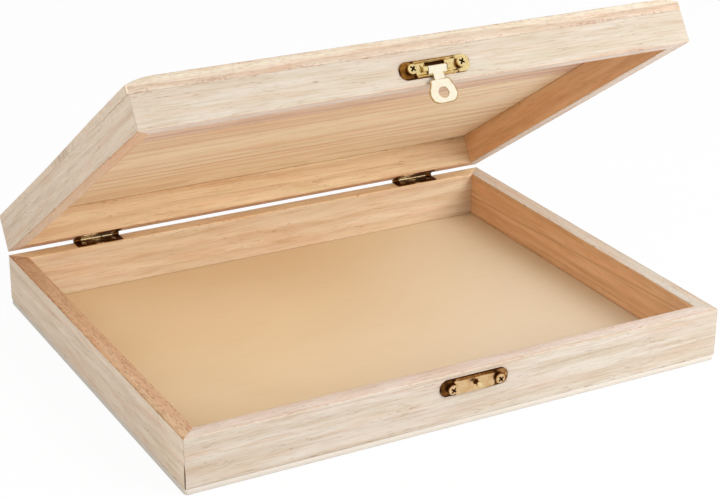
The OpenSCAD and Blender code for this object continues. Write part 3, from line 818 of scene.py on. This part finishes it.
def catch():
    """Plate, screws and stud on the tray's front. The plate's height is the larger of its flat sheet
    and a pressed ridge, and the stud is a profile turned about its axis."""
    place, wide, tall = plate_place("catch_plate", False)
    x, y = stadium(wide, tall, 240, 72)
    half_ridge = 14.4 - np.clip(y - 1.5, 0, 2.5) * (x < 0)
    raised = ridge_height(x, y, half_ridge, tall / 2, rise=1.7, steep=2.6)
    wear_and_shade = plate_wear_and_shade(x, y, wide, tall / 2, 12.6)
    # Besides tarnish these values paint light and shade: the dark band on the top bevel is a painted
    # dark reflection, the line just below it a painted highlight, the lower edge a painted shadow and
    # the ring round the stud's foot painted shade; the right end is a little darker too.
    wear_and_shade = wear_and_shade + 0.62 * smooth(tall / 2 - 1.9, tall / 2 - 1.5, y) * (np.abs(x) < 14)
    wear_and_shade = wear_and_shade - 0.7 * np.exp(-((y - tall / 2 + 2.2) / 0.45) ** 2) * (np.abs(x) < 13)
    wear_and_shade = wear_and_shade + 0.4 * smooth(-tall / 2 + 1.4, -tall / 2 + 0.6, y) + 0.25 * smooth(4, 12, x)
    spot = middle("catch_stud")
    near = np.hypot(x - spot[0] + place[0], y - spot[2] + place[2])
    wear_and_shade = wear_and_shade + 0.7 * smooth(2.4, 1.3, near)
    height = np.maximum(sheet_height(x, y, wide, tall), raised)
    grid = on_face(plate(x, y, height, wear_and_shade), place, False)
    make("catch_plate.brass", [grid], SHADED_BRASS, "tray", "catch_plate")
    two_screws("catch_screws", place, False, SHADED_BRASS, (52, 38))
    low, high = corners("catch_stud")
    reach, head, neck, collar = -BOX_DEPTH / 2 - low[1], 1.7, 1.15, (high[0] - low[0]) / 2
    profile = [(0, reach), (head * 0.35, reach - 0.06), (head * 0.7, reach - 0.42),
               (head * 0.92, reach - 0.95), (head, reach - 1.6), (head * 0.92, reach - 2.1),
               (1.3, reach - 2.5), (neck, reach - 3.0), (neck, 2.3), (1.5, 1.9), (collar, 1.6),
               (collar, 1.4), (0, 1.4)]
    # The values grow from the head's face down its underside and the neck to the collar: painted shade.
    wear_and_shade = [0, 0, 0.1, 0.3, 0.5, 0.9, 1.2, 1.2, 1.2, 0.9, 0.8, 0.8, 0.8]
    grid = on_face(lathe(profile, wear_and_shade, 36), (spot[0], -BOX_DEPTH / 2, spot[2]), False)
    make("catch_stud.brass", [grid], BRASS, "tray", "catch_stud")


BARREL_BORE_R = 0.72   # inside the rolled barrels on the latch pin


def latch():
    """Plate with two knuckles, pin and screws on the lid's front, and the hasp on the pin. The plate's
    height is the larger of its flat sheet and a pressed ridge with a bead, a lip and stamped marks, and
    drops to a slot behind the hasp. A knuckle is a strip rolled round the pin, on a short foot."""
    place, wide, tall = plate_place("latch_plate", True)
    pin = middle("latch_pin", True)
    pin_y, pin_z = pin[2] - place[2], place[1] - pin[1]
    x, y = stadium(wide, tall, 280, 110)
    raised = ridge_height(x, y, 13.6, tall / 2, rise=1.3, steep=2.0)
    middle_part = smooth(12.6, 11.8, np.abs(x))
    bead = 0.75 * np.exp(-((y - tall / 2 + 1.35) / 0.42) ** 2) * middle_part
    lip = 0.9 * np.exp(-((y + tall / 2 - 0.95) / 0.55) ** 2) * smooth(15.5, 14.0, np.abs(x))
    slot = smooth(pin_y + 3.75, pin_y + 3.5, y) * smooth(pin_y - 1.7, pin_y - 1.4, y)
    slot = slot * smooth(6.2, 5.9, np.abs(x))
    chevron = np.abs(np.abs(x + 7.9) * 2.1 - (y - pin_y + 0.2))
    mark = smooth(0.75, 0.25, chevron) * smooth(1.5, 1.3, np.abs(x + 7.9))
    height = np.maximum(sheet_height(x, y, wide, tall), raised + bead + lip - 0.4 * mark)
    height = height * (1 - slot) + 0.1 * slot
    groove = np.exp(-((y - tall / 2 + 2.1) / 0.25) ** 2) + np.exp(-((y - tall / 2 + 0.55) / 0.25) ** 2)
    # Besides tarnish these values paint shade: the slot behind the hasp is painted dark, the grooves
    # beside the bead are painted shade and the left half of the lower edge a painted shadow; the
    # stamped mark is darker too.
    wear_and_shade = plate_wear_and_shade(x, y, wide, tall / 2, 12.4) + 2 * slot + 1.1 * mark + 0.75 * groove * middle_part
    wear_and_shade = wear_and_shade + 0.5 * np.exp(-((y + tall / 2 - 0.2) / 0.5) ** 2) * (x < 0)
    grids = [plate(x, y, height, wear_and_shade)]
    for x0, x1 in ((-8.8, -6.0), (6.0, 8.8)):
        outer, inner = curl(pin_y, pin_z, 1.55, BARREL_BORE_R, math.radians(250), math.radians(-320))
        grids += ribbon(outer, inner, x0, x1, 0.0, 1.4)
        foot_under = np.array([(pin_y - 0.75, 0.6), (pin_y - 1.3, pin_z)])
        foot_over = np.array([(pin_y + 0.2, 0.6), (pin_y - 0.75, pin_z)])
        grids += ribbon(foot_under, foot_over, x0, x1, 0.9, 0.9)
    grids = [on_face(g, place, True) for g in grids]
    make("latch_plate.brass", grids, BRASS, "lid", "latch_plate", bevel=0.06)
    low, high = corners("latch_pin", True)
    rod_grid = rod(low[0] - place[0], high[0] - place[0], pin_y, pin_z, radius=0.65)
    make("latch_pin.brass", [on_face(rod_grid, place, True)], BRASS, "lid", "latch_pin")
    two_screws("latch_screws", place, True, BRASS, (45, 60))
    hasp(place, pin_y, pin_z)


def hasp(place, pin_y, pin_z):
    """Hasp: a barrel round the pin, a wide root, a neck, and a shield-shaped tongue with a round hole.
    The tongue's section runs from the hole's circle out to the shield's outline, front and back."""
    low, high = corners("hasp", True)
    reach, hole_r, half_thick = 14.1, 3.1, 0.4
    half_wide, end_r, end_y = (high[0] - low[0]) / 2, 5.2, -0.6
    shoulder_x, shoulder_y, shoulder_r = 4.4, reach - 8.0, 1.8
    discs = [(-shoulder_x, shoulder_y, shoulder_r), (shoulder_x, shoulder_y, shoulder_r),
             (end_r - half_wide, end_y, end_r), (half_wide - end_r, end_y, end_r)]
    angle = np.linspace(0, 2 * math.pi, 181)
    outline = hull_radius(discs, angle)[:, None]
    section = np.array([(0, -0.8), (0, 0.8), (0.04, 1), (0.12, 1), (0.5, 1), (0.82, 1), (0.9, 0.95),
                        (1, 0.55), (1, -0.7), (0.96, -1), (0.5, -1), (0.03, -1), (0, -0.8)])
    share, level = section[:, 0], section[:, 1]
    radius = hole_r + (outline - hole_r) * share
    x = np.cos(angle)[:, None] * radius
    y = pin_y - reach + np.sin(angle)[:, None] * radius
    dish = 0.08 * np.sin(x * 0.35) + 0.06 * np.cos(y * 0.4) + 0.12
    z = pin_z + level * half_thick + dish
    # The cut edge all round is darker than the faces: painted shade.
    wear_and_shade = 0.1 + 0.55 * (np.abs(level) < 0.97) + 0 * radius
    grids = [with_wear_and_shade(np.stack([x, y, z], -1), wear_and_shade)]

    neck_half, root_half = 3.1, 5.6
    neck = np.array([(-7.6, 0.38), (-5.25, 0.4), (-2.9, 0.42)]) + (pin_y, pin_z)
    grids += ribbon(neck, neck - (0, 0.78), -neck_half, neck_half, 0.0, 0.3)
    root = np.array([(-3.0, 0.44), (-2.2, 0.52), (-1.2, 0.95)]) + (pin_y, pin_z)
    grids += ribbon(root, root - (0, 0.9), -root_half, root_half, 0.0, 0.3)
    outer, inner = curl(pin_y, pin_z, 1.5, BARREL_BORE_R, math.radians(-60), math.radians(345), 40)
    grids += ribbon(outer, inner, -root_half, root_half, 0.0, 1.2)
    grids = [on_face(g, place, True) for g in grids]
    make("hasp.brass", grids, LIT_BRASS, "hasp", "hasp", bevel=0.06)


# The tray's end knuckles are darker and its middle one gold, and the lid's two are bright: painted
# shade and painted glints along the barrel.
KNUCKLE_SHADE_AND_GLINT = (0.65, -0.3, 0.25, -0.3, 0.65)


def hinge(hand):
    """One butt hinge: two leaves with rolled knuckles, the pin and four countersunk screws. A leaf is a
    rounded rectangle carried up its thickness, and a knuckle is a strip rolled round the pin."""
    name = "left" if hand < 0 else "right"
    low, high = corners(f"{name}_hinge_tray_leaf")
    centre_x = (low[0] + high[0]) / 2
    length, barrel_r, leaf_t = high[0] - low[0], 1.1, 0.55
    notch, end_len, gap, screw_x, screw_y = 1.3, 4.5, 0.2, 10, -4.85
    depth = 8.6 - notch
    inner_len = (length - 2 * end_len) / 3
    starts = [0, end_len, end_len + inner_len, end_len + 2 * inner_len, length - end_len, length]

    def placed(grid, on_lid):
        """A piece drawn from the pin's axis: x along it, y back, z up, and mirrored for the lid."""
        moved = grid * (1, 1, -1 if on_lid else 1, 1) + (centre_x, PIN_Y, PIN_Z, 0)
        return swing(moved, LID_OPEN) if on_lid else moved

    for on_lid, knuckles in ((False, (0, 2, 4)), (True, (1, 3))):
        body = "lid" if on_lid else "tray"
        part = f"{name}_hinge_{body}_"
        outline, _ = rounded_outline(length, depth, radius=0.9, pitch=0.8)
        outline = outline - (length / 2, depth / 2)
        rings = []
        for scale, z in ((0, 0), (0.6, 0), (0.97, 0), (1, 0.06), (1, leaf_t - 0.1), (0.992, leaf_t),
                         (0.97, leaf_t), (0.6, leaf_t), (0, leaf_t)):
            rings.append(np.column_stack([outline * scale, np.full(len(outline), z - barrel_r)]))
        rings = np.stack(rings)
        share = rings[..., 0] / length
        rubbed_at, rubbed_width, rubbed = (-0.22, 0.2, 1.0) if on_lid else (-0.02, 0.12, 0.7)
        bare = rubbed * np.exp(-((share - rubbed_at) / rubbed_width) ** 2)
        leaf = with_wear_and_shade(rings, 0.85 - 0.65 * bare)
        leaf[..., 1] -= notch + depth / 2
        grids = [leaf]
        for k in knuckles:
            x0 = starts[k] + (0 if k == 0 else gap / 2) - length / 2
            x1 = starts[k + 1] - (0 if k == 4 else gap / 2) - length / 2
            outer, inner = curl(0, 0, barrel_r, barrel_r - leaf_t, -QUARTER, math.radians(325), 34)
            lead = np.array([(-notch - 0.3, 0.0)])
            outer = np.concatenate([lead - (0, barrel_r), outer])
            inner = np.concatenate([lead - (0, barrel_r - leaf_t), inner])
            grids += ribbon(outer, inner, x0, x1, KNUCKLE_SHADE_AND_GLINT[k], 1.4)
        grids = [placed(g, on_lid) for g in grids]
        make(part + "leaf.brass", grids, AGED_BRASS, body, part + "leaf", bevel=0.05)
        heads = []
        for sign, turn in ((-1, 0.5 + hand), (1, 1.3 + hand)):
            for grid in screw_head(radius=1.8, rise=0.22, rim=0.05, recess=2.2, recess_w=0.5,
                                   recess_depth=0.4, turn=turn):
                grid[..., :3] += (sign * screw_x, screw_y, leaf_t - barrel_r)
                heads.append(placed(grid, on_lid))
        make(part + "screws.brass", heads, AGED_BRASS, body, part + "screws")
    pin = placed(rod(-length / 2, length / 2, 0, 0, radius=0.5), False)
    make(f"{name}_hinge_pin.brass", [pin], AGED_BRASS, "tray", f"{name}_hinge_pin")


# ---- studio ----

CAMERA_PLACE = (-0.4977, -0.9061, 0.4927)       # metres
CAMERA_AZIMUTH, CAMERA_ELEVATION, CAMERA_ROLL = (math.radians(a) for a in (-28.98, 22.99, 0.64))


def toward(azimuth, elevation):
    """Direction out from the box; azimuth 0 is in front of it and positive to the right."""
    flat = math.cos(elevation)
    return Vector((math.sin(azimuth) * flat, -math.cos(azimuth) * flat, math.sin(elevation)))


def camera():
    """The viewpoint: azimuth round the box, elevation above it and a slight roll."""
    back = toward(CAMERA_AZIMUTH, CAMERA_ELEVATION)
    right = Vector((0, 0, 1)).cross(back).normalized()
    up = back.cross(right)
    turn = Matrix((right, up, back)).transposed() @ Matrix.Rotation(CAMERA_ROLL, 3, "Z")
    data = bpy.data.cameras.new("camera")
    data.lens, data.sensor_width = 94.2, 36
    eye = bpy.data.objects.new("camera", data)
    eye.matrix_world = Matrix.Translation(CAMERA_PLACE) @ turn.to_4x4()
    bpy.context.scene.collection.objects.link(eye)
    bpy.context.scene.camera = eye


def softbox(name, azimuth, elevation, distance, width, power, mirrored=False):
    """A square area lamp aimed at the box from this direction. A mirrored lamp shows only as a glint
    on metal, and the others light without a glint."""
    out = toward(math.radians(azimuth), math.radians(elevation))
    data = bpy.data.lights.new(name, "AREA")
    data.size, data.energy = width, power
    lamp = bpy.data.objects.new(name, data)
    lamp.location = Vector((0, 0, 0.08)) + out * distance
    lamp.rotation_euler = out.to_track_quat("Z", "Y").to_euler()
    lamp.visible_glossy, lamp.visible_diffuse = mirrored, not mirrored
    bpy.context.scene.collection.objects.link(lamp)


SKY_LIGHT = 0.48       # strength of the world as light; where it is seen it is white, at 1
FLOOR_GLOW = 0.94      # share of plain white in the floor where it is seen


def studio():
    """Soft lamps, a white world and a pale floor that keeps a faint shadow."""
    softbox("key", 34, 28, 1.6, 1.0, 23)
    softbox("front", -5, 10, 1.8, 1.2, 2)
    softbox("left", -70, 30, 1.8, 1.2, 9)
    softbox("behind", 150, 60, 1.8, 1.2, 2.5)
    softbox("glint", 34, 28, 1.6, 0.5, 1.3, mirrored=True)
    scene = bpy.context.scene
    scene.view_settings.view_transform = "Standard"
    scene.world = bpy.data.worlds.new("studio")
    sky = Nodes(scene.world)
    background = sky.tree.nodes["Background"]
    sky.plug(background.inputs["Color"], (1, 1, 1, 1))
    sky.plug(background.inputs["Strength"], sky.seen() * (1 - SKY_LIGHT) + SKY_LIGHT)

    mesh = bpy.data.meshes.new("studio_floor")
    reach, drop = 4.0, -0.0002
    mesh.from_pydata([(-reach, -reach, drop), (reach, -reach, drop), (reach, reach, drop),
                      (-reach, reach, drop)], [], [(0, 1, 2, 3)])
    ground = bpy.data.objects.new("studio_floor", mesh)
    scene.collection.objects.link(ground)
    paper = Finish("white_paper", Roughness=0.9)
    paper.set("Base Color", (0.9, 0.9, 0.9, 1))
    matt, glow = Socket(paper, paper.shader.outputs[0]), paper.add("ShaderNodeEmission")
    lit = paper.add("ShaderNodeMixShader", (), {0: paper.seen() * FLOOR_GLOW, 1: matt, 2: glow})
    paper.plug(paper.tree.nodes["Material Output"].inputs[0], lit)
    mesh.materials.append(paper.material)


camera()
tray_boards()
lid_boards()
catch()
latch()
hinge(-1)
hinge(1)
studio()
